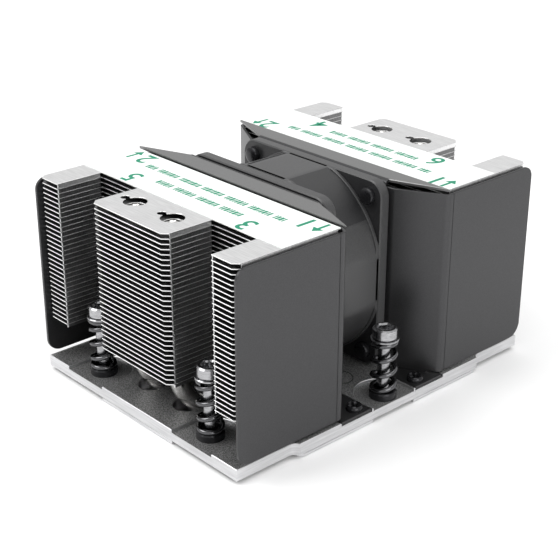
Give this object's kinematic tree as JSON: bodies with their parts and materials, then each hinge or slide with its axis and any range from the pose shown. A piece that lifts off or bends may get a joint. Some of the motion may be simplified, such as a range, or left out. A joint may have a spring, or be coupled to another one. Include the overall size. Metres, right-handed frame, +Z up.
{
  "type": "active server cpu heatsink",
  "caption": "Low server processor cooler: flat base, stacked level fins on upright heat pipes at each end, a fan between dark folded shrouds, and captive spring screws.",
  "frame": {"origin": "middle of the underside of the contact pad, which is the lowest face", "axes": "+Z up from the processor, +Y along the air flow from the front fin stack to the rear one, +X across"},
  "size_m": [0.0924, 0.1182, 0.0643],
  "materials": {
    "base": "bead-blasted, bright machined edges",
    "pipe": "nickel-plated",
    "fin": "bright rolled sheet",
    "shroud": "dark satin",
    "label": "matt film",
    "fan_plastic": "fine matt",
    "magnet": "bonded magnet",
    "winding": "enamelled copper wire",
    "board": "board",
    "motor_steel": "plain",
    "ferrule": "black oxide",
    "spring": "black finish",
    "black_screw": "black oxide",
    "tab_screw": "zinc plated",
    "screw": "nickel-plated"
  },
  "bodies": {
    "cooler": {"base_plate": "base", "fan_circuit_board": "board", "fan_frame": "fan_plastic", "fan_screws": "black_screw", "front_bearing": "motor_steel", "front_label": "label", "front_lower_fins": "fin", "front_shroud": "shroud", "front_upper_fins": "fin", "heat_pipe_left": "pipe", "heat_pipe_right": "pipe", "rear_bearing": "motor_steel", "rear_label": "label", "rear_lower_fins": "fin", "rear_shroud": "shroud", "rear_upper_fins": "fin", "screw_ferrule_1": "ferrule", "screw_ferrule_2": "ferrule", "screw_ferrule_3": "ferrule", "screw_ferrule_4": "ferrule", "screw_ferrule_5": "ferrule", "screw_ferrule_6": "ferrule", "screw_spring_1": "spring", "screw_spring_2": "spring", "screw_spring_3": "spring", "screw_spring_4": "spring", "screw_spring_5": "spring", "screw_spring_6": "spring", "stator_core": "motor_steel", "stator_windings": "winding", "tab_screws": "tab_screw"},
    "fan_rotor": {"fan_impeller": "fan_plastic", "rotor_yoke": "motor_steel", "rotor_magnet": "magnet", "rotor_shaft": "motor_steel"},
    "screw_1_slider": {"screw_washer_1": "screw"},
    "screw_1_body": {"cooler_screw_1": "screw", "retaining_ring_1": "screw"},
    "screw_2_slider": {"screw_washer_2": "screw"},
    "screw_2_body": {"cooler_screw_2": "screw", "retaining_ring_2": "screw"},
    "screw_3_slider": {"screw_washer_3": "screw"},
    "screw_3_body": {"cooler_screw_3": "screw", "retaining_ring_3": "screw"},
    "screw_4_slider": {"screw_washer_4": "screw"},
    "screw_4_body": {"cooler_screw_4": "screw", "retaining_ring_4": "screw"},
    "screw_5_slider": {"screw_washer_5": "screw"},
    "screw_5_body": {"cooler_screw_5": "screw", "retaining_ring_5": "screw"},
    "screw_6_slider": {"screw_washer_6": "screw"},
    "screw_6_body": {"cooler_screw_6": "screw", "retaining_ring_6": "screw"}
  },
  "joints": [
    {"name": "fan_spin", "type": "hinge", "parent": "cooler", "child": "fan_rotor", "pos_m": [0, 0, 0.03455], "axis": [0, 1, 0], "continuous": true},
    {"name": "screw_1_press", "type": "slide", "parent": "cooler", "child": "screw_1_slider", "axis": [0, 0, 1], "range_m": [-0.005, 0], "stiffness_N_per_m": 3000, "springref_m": 0.004, "deforming": ["screw_spring_1"]},
    {"name": "screw_1_turn", "type": "hinge", "parent": "screw_1_slider", "child": "screw_1_body", "pos_m": [0.0416, 0, 0], "axis": [0, 0, 1], "continuous": true},
    {"name": "screw_2_press", "type": "slide", "parent": "cooler", "child": "screw_2_slider", "axis": [0, 0, 1], "range_m": [-0.005, 0], "stiffness_N_per_m": 3000, "springref_m": 0.004, "deforming": ["screw_spring_2"]},
    {"name": "screw_2_turn", "type": "hinge", "parent": "screw_2_slider", "child": "screw_2_body", "pos_m": [-0.0416, 0, 0], "axis": [0, 0, 1], "continuous": true},
    {"name": "screw_3_press", "type": "slide", "parent": "cooler", "child": "screw_3_slider", "axis": [0, 0, 1], "range_m": [-0.005, 0], "stiffness_N_per_m": 3000, "springref_m": 0.004, "deforming": ["screw_spring_3"]},
    {"name": "screw_3_turn", "type": "hinge", "parent": "screw_3_slider", "child": "screw_3_body", "pos_m": [0.0253, -0.052, 0], "axis": [0, 0, 1], "continuous": true},
    {"name": "screw_4_press", "type": "slide", "parent": "cooler", "child": "screw_4_slider", "axis": [0, 0, 1], "range_m": [-0.005, 0], "stiffness_N_per_m": 3000, "springref_m": 0.004, "deforming": ["screw_spring_4"]},
    {"name": "screw_4_turn", "type": "hinge", "parent": "screw_4_slider", "child": "screw_4_body", "pos_m": [-0.0253, 0.052, 0], "axis": [0, 0, 1], "continuous": true},
    {"name": "screw_5_press", "type": "slide", "parent": "cooler", "child": "screw_5_slider", "axis": [0, 0, 1], "range_m": [-0.005, 0], "stiffness_N_per_m": 3000, "springref_m": 0.004, "deforming": ["screw_spring_5"]},
    {"name": "screw_5_turn", "type": "hinge", "parent": "screw_5_slider", "child": "screw_5_body", "pos_m": [-0.0253, -0.052, 0], "axis": [0, 0, 1], "continuous": true},
    {"name": "screw_6_press", "type": "slide", "parent": "cooler", "child": "screw_6_slider", "axis": [0, 0, 1], "range_m": [-0.005, 0], "stiffness_N_per_m": 3000, "springref_m": 0.004, "deforming": ["screw_spring_6"]},
    {"name": "screw_6_turn", "type": "hinge", "parent": "screw_6_slider", "child": "screw_6_body", "pos_m": [0.0253, 0.052, 0], "axis": [0, 0, 1], "continuous": true}
  ]
}
